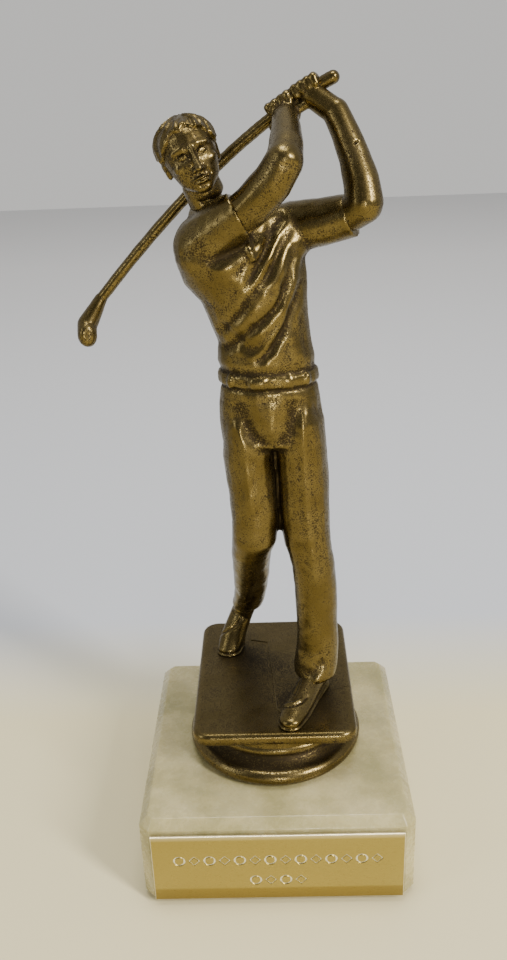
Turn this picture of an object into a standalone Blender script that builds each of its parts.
"""A figure trophy: a golfer moulded in two shells, on a marble block with an engraving plate.

Frame: origin at the centre of the base pad's underside, +Z up, +Y away from the plate.
Lengths are written in millimetres and turned into metres by MM.
"""

import math

import bmesh
import bpy
from mathutils import Matrix, Vector

MM = 0.001

# Base: pad, marble block, plate
PAD_THICKNESS = 0.6
BASE_SIDE = 70.0
BASE_TOP = 26.0
BASE_TOP_CHAMFER = 2.2
BASE_CORNER_CHAMFER = 2.5
BASE_FOOT_CHAMFER = 1.0
PAD_INSET = 2.0
PLATE_SIDE_MARGIN = 3.0
PLATE_TOP_MARGIN = 3.05
PLATE_FOOT_MARGIN = 1.05
PLATE_THICKNESS = 0.6
PLATE_BEVEL = 0.25
ADHESIVE_THICKNESS = 0.1
ADHESIVE_INSET = 1.0

# Hardware: one metric thread runs through the base
THREAD = 4.0
THREAD_CLEARANCE = 0.15
NUT_FLATS = 1.75 * THREAD
NUT_HEIGHT = 0.8 * THREAD
WASHER_RADIUS = 1.5 * THREAD
WASHER_THICKNESS = 0.8
ROD_HOLE_CLEARANCE = 0.5
SOCKET_CLEARANCE = 3.0
ROD_TAIL = 1.0
ROD_HEADROOM = 1.5
CAPTIVE_NUT_FLOOR = 2.4
BOSS_WALL = 2.6

# Riser and slab under the figure's feet
RISER_HEIGHT = 12.0
RISER_RADIUS = 23.3
RISER_TOP_RADIUS = 21.5
RISER_BEAD = 2.2
RISER_TOP_BEAD = 1.4
RISER_COVE = 3.2
RISER_NECK = 0.8
SLAB_THICKNESS = 3.0
SLAB_FRONT = -20.8
SLAB_BACK = 34.0
SLAB_CORNER = 4.5
SLAB_RIM = 1.0
WALL = 1.6

# Figure: landmarks are given for a golfer of this height, sole to crown
LANDMARK_HEIGHT = 148.0
FIGURE_HEIGHT = 148.0
CLUB_RADIUS = 1.35
GRIP_RADIUS = 1.75
CLUB_CLEARANCE = 0.3

GAP = 0.3
BEYOND = 1.0
WELD = 0.002
SMALLEST_CORE = 1.9
BALL_SIDES = 12
BALL_RINGS = 7
CORE_SIDES = 8
CORE_RINGS = 5
ROUND_SIDES = 32
HOLE_SIDES = 16
PARTING_CELL = 3.3

# What seats on the block, and what the thread needs round it
BASE_LOW = PAD_THICKNESS + GAP
SOLE = BASE_TOP + GAP + RISER_HEIGHT + SLAB_THICKNESS
PLATE_WIDTH = BASE_SIDE - 2 * PLATE_SIDE_MARGIN
PLATE_LOW = BASE_LOW + PLATE_FOOT_MARGIN
PLATE_HIGH = BASE_TOP - PLATE_TOP_MARGIN
SLAB_WIDTH = 2 * RISER_TOP_RADIUS
PARTING_REACH = max(0.54 * FIGURE_HEIGHT, BASE_SIDE)
PARTING_HEIGHT = SOLE + 1.2 * FIGURE_HEIGHT
COUNTERBORE_RADIUS = WASHER_RADIUS + SOCKET_CLEARANCE
COUNTERBORE_DEPTH = NUT_HEIGHT + WASHER_THICKNESS + ROD_TAIL + SOCKET_CLEARANCE
WASHER_TOP = BASE_LOW + COUNTERBORE_DEPTH - GAP
NUT_LOW = WASHER_TOP - WASHER_THICKNESS - GAP - NUT_HEIGHT
POCKET_FLATS = NUT_FLATS + 2 * GAP
CAPTIVE_NUT_LOW = BASE_TOP + GAP + CAPTIVE_NUT_FLOOR
ROD_TOP = CAPTIVE_NUT_LOW + NUT_HEIGHT + ROD_HEADROOM
BOSS_RADIUS = POCKET_FLATS / math.sqrt(3.0) + BOSS_WALL

# Landmarks of the body: centre above the sole, and half sizes across, deep and high
LANDMARKS = {
    "crown": ((-16.0, -2.5, 142.3), (6.7, 7.3, 6.6)),
    "jaw": ((-12.6, -6.0, 135.8), (4.0, 4.6, 3.6)),
    "neck_top": ((-12.3, -1.0, 132.5), (3.9, 4.0, 3.6)),
    "neck_root": ((-9.8, 0.5, 127.0), (4.8, 4.8, 3.6)),
    "collar": ((-9.0, 0.5, 126.0), (6.0, 5.8, 3.4)),
    "right_shoulder": ((-12.2, -2.5, 121.2), (6.8, 6.6, 6.6)),
    "left_shoulder": ((8.0, 3.5, 123.6), (5.8, 5.8, 5.6)),
    "chest": ((-2.8, 0.0, 118.0), (11.6, 8.6, 9.0)),
    "ribs": ((-1.4, 0.5, 108.5), (12.3, 8.0, 6.0)),
    "waist": ((0.6, 0.8, 97.0), (11.4, 7.6, 5.0)),
    "belt": ((1.2, 1.0, 91.3), (12.3, 8.4, 4.0)),
    "pelvis": ((1.5, 1.5, 80.0), (12.8, 8.7, 7.0)),
    "lead_hip": ((8.0, 1.2, 73.0), (7.0, 7.8, 6.0)),
    "lead_knee": ((10.5, -0.5, 44.0), (5.7, 6.0, 6.0)),
    "lead_shin": ((12.1, 1.0, 21.0), (5.7, 6.2, 6.0)),
    "lead_hem": ((10.9, 0.6, 7.2), (5.0, 5.8, 2.6)),
    "lead_heel": ((11.6, 0.2, 2.6), (3.7, 3.9, 3.2)),
    "lead_toe": ((4.9, -15.0, 1.9), (3.6, 3.6, 2.4)),
    "trail_hip": ((-4.6, 1.8, 73.0), (6.6, 7.6, 6.0)),
    "trail_knee": ((-4.1, -1.2, 45.6), (5.8, 6.2, 6.0)),
    "trail_calf": ((-5.6, 12.0, 26.0), (5.0, 5.6, 5.4)),
    "trail_hem": ((-7.3, 20.5, 14.6), (4.2, 4.6, 3.4)),
    "trail_heel": ((-8.4, 24.6, 10.8), (3.3, 3.6, 3.8)),
    "trail_ball": ((-12.2, 19.6, 3.1), (3.9, 3.9, 3.6)),
    "right_elbow": ((6.3, -13.0, 137.8), (4.2, 4.2, 4.3)),
    "right_wrist": ((6.9, 0.5, 145.8), (3.1, 3.2, 3.2)),
    "right_fist": ((6.7, 4.9, 148.3), (3.8, 3.5, 3.6)),
    "left_cuff": ((19.8, -2.0, 126.6), (5.4, 5.6, 5.8)),
    "left_elbow": ((23.4, -5.0, 128.9), (4.2, 4.2, 4.3)),
    "left_wrist": ((16.6, 1.8, 147.0), (3.1, 3.1, 3.2)),
    "left_fist": ((13.6, 4.0, 151.0), (4.1, 3.7, 3.9)),
}

# Each limb is the tight skin round two landmarks
LIMBS = (
    ("crown", "jaw"),
    ("neck_top", "neck_root"),
    ("crown", "neck_top"),
    ("collar", "chest"),
    ("right_shoulder", "chest"),
    ("left_shoulder", "chest"),
    ("right_shoulder", "collar"),
    ("left_shoulder", "collar"),
    ("chest", "ribs"),
    ("ribs", "waist"),
    ("waist", "belt"),
    ("belt", "pelvis"),
    ("pelvis", "lead_hip"),
    ("lead_hip", "lead_knee"),
    ("lead_knee", "lead_shin"),
    ("lead_shin", "lead_hem"),
    ("lead_heel", "lead_toe"),
    ("pelvis", "trail_hip"),
    ("trail_hip", "trail_knee"),
    ("trail_knee", "trail_calf"),
    ("trail_calf", "trail_hem"),
    ("trail_hem", "trail_heel"),
    ("trail_heel", "trail_ball"),
    ("right_shoulder", "right_elbow"),
    ("right_elbow", "right_wrist"),
    ("right_wrist", "right_fist"),
    ("left_shoulder", "left_cuff"),
    ("left_cuff", "left_elbow"),
    ("left_elbow", "left_wrist"),
    ("left_wrist", "left_fist"),
)

# Limbs thick enough to be cored out behind the wall
CORED_LIMBS = (
    ("crown", "jaw"),
    ("right_shoulder", "chest"),
    ("left_shoulder", "chest"),
    ("chest", "ribs"),
    ("ribs", "waist"),
    ("waist", "belt"),
    ("pelvis", "lead_hip"),
    ("lead_hip", "lead_knee"),
    ("lead_knee", "lead_shin"),
    ("pelvis", "trail_hip"),
    ("trail_hip", "trail_knee"),
    ("trail_knee", "trail_calf"),
)

# The club's axis is a bowed line: grip end, control point, club head
CLUB_GRIP_END = (16.8, 3.0, 154.2)
CLUB_BOW = (-8.4, 9.0, 142.4)
CLUB_TIP = (-42.0, 9.0, 103.5)
CLUB_SEGMENTS = 10
CLUB_SIDES = 12
GRIP_SHARE = 0.3
CLUB_SOLE = ((-42.6, 7.4, 100.3), (2.4, 2.9, 3.0))
CLUB_TOE = ((-41.4, 4.6, 99.6), (2.6, 1.8, 3.2))

# Depth of the joint between the shells below the soles: (across, depth)
SLAB_PARTING = (
    (-21.5, 3.0), (-12.0, 18.0), (-5.5, 19.0), (0.0, 0.0), (3.5, -7.0), (10.0, -7.0), (21.5, 0.0),
)
PARTING_SOFTNESS = 1.5
PARTING_START = 6.0

GOLD = (0.33, 0.22, 0.06)
STEEL = (0.55, 0.55, 0.53)
STONE = (0.72, 0.70, 0.58)


def on_figure(point):
    """A landmark's place in the frame, in millimetres."""
    size = FIGURE_HEIGHT / LANDMARK_HEIGHT
    return Vector((point[0] * size, point[1] * size, SOLE + point[2] * size))


def figure_size(radii):
    return Vector(radii) * (FIGURE_HEIGHT / LANDMARK_HEIGHT)


def material(name, color, roughness, metallic):
    made = bpy.data.materials.new(name)
    made.use_nodes = True
    shader = made.node_tree.nodes["Principled BSDF"]
    shader.inputs["Base Color"].default_value = (*color, 1.0)
    shader.inputs["Roughness"].default_value = roughness
    shader.inputs["Metallic"].default_value = metallic
    return made


def body(name, bm):
    """An object whose mesh is bm, brought from millimetres to metres."""
    bmesh.ops.scale(bm, vec=Vector((MM, MM, MM)), verts=bm.verts)
    bmesh.ops.recalc_face_normals(bm, faces=bm.faces)
    mesh = bpy.data.meshes.new(name)
    bm.to_mesh(mesh)
    bm.free()
    made = bpy.data.objects.new(name, mesh)
    bpy.context.scene.collection.objects.link(made)
    return made


def combine(target, tool, operation):
    """Join or cut target with tool, which is used up, and weld the slivers that this leaves."""
    modifier = target.modifiers.new(operation, "BOOLEAN")
    modifier.operation = operation
    modifier.solver = "EXACT"
    modifier.use_self = operation == "INTERSECT"
    modifier.object = tool
    graph = bpy.context.evaluated_depsgraph_get()
    mesh = bpy.data.meshes.new_from_object(target.evaluated_get(graph))
    target.modifiers.clear()
    clean = bmesh.new()
    clean.from_mesh(mesh)
    bmesh.ops.remove_doubles(clean, verts=clean.verts, dist=WELD * MM)
    bmesh.ops.dissolve_degenerate(clean, edges=clean.edges, dist=WELD * MM)
    clean.to_mesh(mesh)
    clean.free()
    target.data = mesh
    bpy.data.objects.remove(tool)


def skin(centres_and_radii, sides=BALL_SIDES, rings=BALL_RINGS):
    """The convex skin round a few balls, as a bmesh in millimetres."""
    bm = bmesh.new()
    for centre, radii in centres_and_radii:
        place = Matrix.Translation(centre) @ Matrix.Diagonal((*radii, 1.0))
        bmesh.ops.create_uvsphere(
            bm, u_segments=sides, v_segments=rings, radius=1.0, matrix=place
        )
    bmesh.ops.delete(bm, geom=list(bm.edges), context="EDGES_FACES")
    hull = bmesh.ops.convex_hull(bm, input=bm.verts)
    inside = [item for item in hull["geom_interior"] if isinstance(item, bmesh.types.BMVert)]
    bmesh.ops.delete(bm, geom=inside, context="VERTS")
    return bm


def limb(pair, thinner=0.0):
    balls = []
    for landmark in pair:
        centre, radii = LANDMARKS[landmark]
        full = figure_size(radii)
        core = [max(half - thinner, SMALLEST_CORE if thinner else 0.0) for half in full]
        balls.append((on_figure(centre), core))
    if thinner:
        return skin(balls, CORE_SIDES, CORE_RINGS)
    return skin(balls)


def joined(limbs, name, thinner=0.0):
    """All the limbs as one closed body."""
    whole = body(name, limb(limbs[0], thinner))
    for pair in limbs[1:]:
        combine(whole, body("limb", limb(pair, thinner)), "UNION")
    return whole


def turned(profile, sides=ROUND_SIDES):
    """A closed body turned about the Z axis from (radius, height) points, bottom to top."""
    bm = bmesh.new()
    points = [bm.verts.new((radius, 0.0, height)) for radius, height in profile]
    edges = [bm.edges.new(pair) for pair in zip(points, points[1:])]
    bmesh.ops.spin(
        bm, geom=points + edges, cent=(0, 0, 0), axis=(0, 0, 1), angle=math.tau, steps=sides,
        use_merge=True,
    )
    bmesh.ops.remove_doubles(bm, verts=bm.verts, dist=0.001)
    return bm


def rod(radius, low, high, sides=ROUND_SIDES):
    return turned(((0.0, low), (radius, low), (radius, high), (0.0, high)), sides)


def tube(inner, outer, low, high, sides=ROUND_SIDES):
    return turned(((inner, low), (outer, low), (outer, high), (inner, high), (inner, low)), sides)


def hexagon(flats, low, high):
    """A hexagonal prism with two sides across X."""
    return rod(flats / math.sqrt(3.0), low, high, sides=6)


def box(low, high):
    bm = bmesh.new()
    bmesh.ops.create_cube(bm, size=1.0)
    low, high = Vector(low), Vector(high)
    bmesh.ops.scale(bm, vec=high - low, verts=bm.verts)
    bmesh.ops.translate(bm, vec=(low + high) / 2, verts=bm.verts)
    return bm


def edges_along(bm, axis):
    """The edges of a box that run along one axis."""
    return [e for e in bm.edges if abs((e.verts[0].co - e.verts[1].co).normalized()[axis]) > 0.99]


def bevel(bm, edges, width, segments=1):
    bmesh.ops.bevel(
        bm, geom=edges, offset=width, offset_type="OFFSET", segments=segments, profile=0.5,
        affect="EDGES", clamp_overlap=True, material=-1,
    )


def arc(centre, radius, start, end, steps):
    """Points of an arc in the (radius, height) plane, angles in degrees."""
    points = []
    for step in range(steps + 1):
        angle = math.radians(start + (end - start) * step / steps)
        points.append((centre[0] + radius * math.cos(angle), centre[1] + radius * math.sin(angle)))
    return points


def riser():
    """The round riser: a bead, a hollow cove, a smaller bead, then a neck under the slab."""
    low = BASE_TOP + GAP
    high = low + RISER_HEIGHT
    foot = (RISER_RADIUS - RISER_BEAD, low + RISER_BEAD)
    top = (RISER_TOP_RADIUS - RISER_TOP_BEAD, high - RISER_TOP_BEAD - RISER_NECK)
    cove_low = (foot[0], low + 2 * RISER_BEAD)
    cove_high = (top[0], top[1] - RISER_TOP_BEAD)
    cove_mid = (min(cove_low[0], cove_high[0]) - RISER_COVE / 2, (cove_low[1] + cove_high[1]) / 2)
    profile = [(0.0, low), (foot[0], low)]
    profile += arc(foot, RISER_BEAD, -60, 90, 5)
    profile += [cove_mid]
    profile += arc(top, RISER_TOP_BEAD, -90, 90, 4)
    profile += [(top[0], high + SLAB_THICKNESS / 2), (0.0, high + SLAB_THICKNESS / 2)]
    return body("riser", turned(profile))


def slab():
    top = SOLE
    bm = box((-SLAB_WIDTH / 2, SLAB_FRONT, top - SLAB_THICKNESS), (SLAB_WIDTH / 2, SLAB_BACK, top))
    bevel(bm, edges_along(bm, 2), SLAB_CORNER, segments=3)
    rim = [e for e in bm.edges if all(abs(v.co.z - top) < 0.01 for v in e.verts)]
    bevel(bm, rim, SLAB_RIM, segments=2)
    return body("slab", bm)


def club_point(share):
    """A point of the club's bowed axis, 0 at the grip end and 1 at the head."""
    start, bow, end = (on_figure(p) for p in (CLUB_GRIP_END, CLUB_BOW, CLUB_TIP))
    return start.lerp(bow, share).lerp(bow.lerp(end, share), share)


def club(extra=0.0, name="golf_club"):
    """Grip, shaft and head; extra widens it into the tool that cuts the fists."""
    bm = bmesh.new()
    start = bmesh.ops.create_circle(bm, cap_ends=True, radius=1.0, segments=CLUB_SIDES)
    ring = list(start["verts"])
    unit = [vert.co.copy() for vert in ring]
    edges = list(bm.edges)
    for step in range(CLUB_SEGMENTS + 1):
        share = step / CLUB_SEGMENTS
        if step:
            grown = bmesh.ops.extrude_edge_only(bm, edges=edges)["geom"]
            made = [item for item in grown if isinstance(item, bmesh.types.BMVert)]
            near = {min(range(CLUB_SIDES), key=lambda i: (v.co - ring[i].co).length): v for v in made}
            ring = [near[index] for index in range(CLUB_SIDES)]
            edges = [e for e in grown if isinstance(e, bmesh.types.BMEdge) and set(e.verts) <= set(ring)]
        radius = (GRIP_RADIUS if share < GRIP_SHARE else CLUB_RADIUS) + extra
        ahead = (club_point(share + 0.01) - club_point(share - 0.01)).normalized()
        turn = ahead.to_track_quat("Z", "Y")
        middle = club_point(share) + ahead * (extra * (2 * share - 1.0))
        for vert, corner in zip(ring, unit):
            vert.co = middle + turn @ (corner * radius)
    bmesh.ops.edgeloop_fill(bm, edges=edges)
    whole = body(name, bm)
    head = [(on_figure(centre), figure_size(radii)) for centre, radii in (CLUB_SOLE, CLUB_TOE)]
    head.append((club_point(0.97), [CLUB_RADIUS + extra + 0.2] * 3))
    combine(whole, body("head", skin(head)), "UNION")
    return whole


def parting_guides():
    """Places that the joint between the shells passes through, as (x, depth, z)."""
    guides = [(x, depth, SOLE) for x, depth in SLAB_PARTING]
    for first, second in LIMBS:
        a, b = (on_figure(LANDMARKS[name][0]) for name in (first, second))
        for share in (0.0, 0.5, 1.0):
            middle = a.lerp(b, share)
            if middle.z > SOLE + PARTING_START:
                guides.append(tuple(middle))
    return guides


def parting_depth(x, z, guides):
    """Y of the joint at a place seen from the front: the nearest limbs' own middle."""
    total = 0.0
    weight_sum = 0.0
    for gx, gy, gz in guides:
        apart = (x - gx) ** 2 + (max(z, SOLE) - gz) ** 2
        weight = 1.0 / (apart + PARTING_SOFTNESS ** 2) ** 2
        total += weight * gy
        weight_sum += weight
    return total / weight_sum


def parting_block(side):
    """Everything behind (+1) or in front (-1) of the joint, less half the gap."""
    width = 2 * PARTING_REACH
    guides = parting_guides()
    bm = bmesh.new()
    columns = round(width / PARTING_CELL)
    rows = round(PARTING_HEIGHT / PARTING_CELL)
    upright = Matrix.Translation((0, 0, PARTING_HEIGHT / 2)) @ Matrix.Rotation(math.pi / 2, 4, "X")
    bmesh.ops.create_grid(bm, x_segments=columns, y_segments=rows, size=0.5, matrix=Matrix())
    bmesh.ops.scale(bm, vec=(width, PARTING_HEIGHT, 1.0), verts=bm.verts)
    bmesh.ops.transform(bm, matrix=upright, verts=bm.verts)
    for vert in bm.verts:
        vert.co.y = parting_depth(vert.co.x, vert.co.z, guides) + side * GAP / 2
    bmesh.ops.triangulate(bm, faces=list(bm.faces))
    grown = bmesh.ops.extrude_face_region(bm, geom=list(bm.faces))
    for item in grown["geom"]:
        if isinstance(item, bmesh.types.BMVert):
            item.co.y = side * PARTING_REACH
    return body("parting", bm)


def figure_whole():
    """The outer shape of both shells, cored out, with the nut pocket and the club's way."""
    figure = joined(LIMBS, "figure")
    combine(figure, slab(), "UNION")
    combine(figure, riser(), "UNION")
    low = BASE_TOP + GAP
    ring_top = SOLE - SLAB_THICKNESS / 2 - WALL
    ring_outer = RISER_TOP_RADIUS - RISER_TOP_BEAD - RISER_COVE / 2 - WALL
    combine(figure, body("ring", tube(BOSS_RADIUS, ring_outer, low - BEYOND, ring_top)), "DIFFERENCE")
    combine(figure, joined(CORED_LIMBS, "core", thinner=WALL), "DIFFERENCE")
    pocket = hexagon(POCKET_FLATS, CAPTIVE_NUT_LOW - GAP, CAPTIVE_NUT_LOW + NUT_HEIGHT + GAP)
    nut_way = body("pocket", pocket)
    hole = THREAD / 2 + THREAD_CLEARANCE + GAP
    combine(nut_way, body("hole", rod(hole, low - BEYOND, ROD_TOP + GAP, HOLE_SIDES)), "UNION")
    combine(figure, nut_way, "DIFFERENCE")
    combine(figure, club(CLUB_CLEARANCE, "club_way"), "DIFFERENCE")
    return figure


def half_shell(name, whole, side):
    """The shell in front of the joint (-1) or behind it (+1)."""
    shell = whole.copy()
    shell.data = whole.data.copy()
    shell.name = name
    bpy.context.scene.collection.objects.link(shell)
    combine(shell, parting_block(side), "INTERSECT")
    return shell


def nut(name, low):
    """A hex nut with its corners turned off and a smooth bore."""
    made = body(name, hexagon(NUT_FLATS, low, low + NUT_HEIGHT))
    corner = NUT_FLATS / math.sqrt(3.0)
    chamfer = (corner - NUT_FLATS / 2) / 2
    blank = (
        (0.0, low), (corner - chamfer, low), (corner, low + chamfer),
        (corner, low + NUT_HEIGHT - chamfer), (corner - chamfer, low + NUT_HEIGHT),
        (0.0, low + NUT_HEIGHT),
    )
    combine(made, body("blank", turned(blank, HOLE_SIDES)), "INTERSECT")
    bore = THREAD / 2 + THREAD_CLEARANCE
    way = rod(bore, low - BEYOND, low + NUT_HEIGHT + BEYOND, HOLE_SIDES)
    combine(made, body("bore", way), "DIFFERENCE")
    return made


def marble_base():
    half = BASE_SIDE / 2
    bm = box((-half, -half, BASE_LOW), (half, half, BASE_TOP))
    bevel(bm, edges_along(bm, 2), BASE_CORNER_CHAMFER)
    top = [e for e in bm.edges if all(abs(v.co.z - BASE_TOP) < 0.01 for v in e.verts)]
    bevel(bm, top, BASE_TOP_CHAMFER)
    foot = [e for e in bm.edges if all(abs(v.co.z - BASE_LOW) < 0.01 for v in e.verts)]
    bevel(bm, foot, BASE_FOOT_CHAMFER)
    block = body("marble_base", bm)
    hole = THREAD / 2 + ROD_HOLE_CLEARANCE
    way = rod(hole, BASE_LOW - BEYOND, BASE_TOP + BEYOND, HOLE_SIDES)
    combine(block, body("hole", way), "DIFFERENCE")
    sink = rod(COUNTERBORE_RADIUS, BASE_LOW - BEYOND, BASE_LOW + COUNTERBORE_DEPTH)
    combine(block, body("sink", sink), "DIFFERENCE")
    return block


def base_pad():
    half = BASE_SIDE / 2 - PAD_INSET
    bm = box((-half, -half, 0.0), (half, half, PAD_THICKNESS))
    bevel(bm, edges_along(bm, 2), BASE_CORNER_CHAMFER)
    return body("base_pad", bm)


def plate_film():
    back = -BASE_SIDE / 2 - GAP
    low = PLATE_LOW + ADHESIVE_INSET
    half = PLATE_WIDTH / 2 - ADHESIVE_INSET
    high = PLATE_HIGH - ADHESIVE_INSET
    return body("plate_adhesive", box((-half, back - ADHESIVE_THICKNESS, low), (half, back, high)))


def engraving_plate():
    back = -BASE_SIDE / 2 - ADHESIVE_THICKNESS - 2 * GAP
    front = back - PLATE_THICKNESS
    half = PLATE_WIDTH / 2
    bm = box((-half, front, PLATE_LOW), (half, back, PLATE_HIGH))
    rim = [e for e in bm.edges if all(abs(v.co.y - front) < 0.01 for v in e.verts)]
    bevel(bm, rim, PLATE_BEVEL)
    return body("engraving_plate", bm)


for old in list(bpy.data.objects):
    bpy.data.objects.remove(old)

gold = material("antique gold", GOLD, 0.35, 1.0)
steel = material("zinc plated steel", STEEL, 0.35, 1.0)
stone = material("cream onyx marble", STONE, 0.15, 0.0)
brass = material("gold plate metal", (0.60, 0.45, 0.15), 0.25, 1.0)
film = material("adhesive film", (0.80, 0.78, 0.70), 0.60, 0.0)
foam = material("dark foam", (0.03, 0.04, 0.03), 0.90, 0.0)

whole = figure_whole()
front = half_shell("figure_front_shell", whole, -1)
back = half_shell("figure_back_shell", whole, 1)
bpy.data.objects.remove(whole)
golf_club = club()
captive = nut("captive_nut", CAPTIVE_NUT_LOW)
tie_rod = body("tie_rod", rod(THREAD / 2, NUT_LOW - ROD_TAIL, ROD_TOP, HOLE_SIDES))
washer_hole = THREAD / 2 + ROD_HOLE_CLEARANCE / 2
washer_low = WASHER_TOP - WASHER_THICKNESS
washer_ring = tube(washer_hole, WASHER_RADIUS, washer_low, WASHER_TOP, HOLE_SIDES)
washer = body("washer", washer_ring)
hex_nut = nut("hex_nut", NUT_LOW)

FINISHES = (
    (gold, (front, back, golf_club)),
    (steel, (captive, tie_rod, washer, hex_nut)),
    (stone, (marble_base(),)),
    (brass, (engraving_plate(),)),
    (film, (plate_film(),)),
    (foam, (base_pad(),)),
)
for finish, pieces in FINISHES:
    for piece in pieces:
        piece.data.materials.clear()
        piece.data.materials.append(finish)

# Both moving bodies turn about the rod, so each hangs from an empty on its axis
for axis_name, pieces in (
    ("figure_axis", (front, back, golf_club, captive, tie_rod)),
    ("nut_axis", (hex_nut,)),
):
    empty = bpy.data.objects.new(axis_name, None)
    bpy.context.scene.collection.objects.link(empty)
    for piece in pieces:
        piece.parent = empty
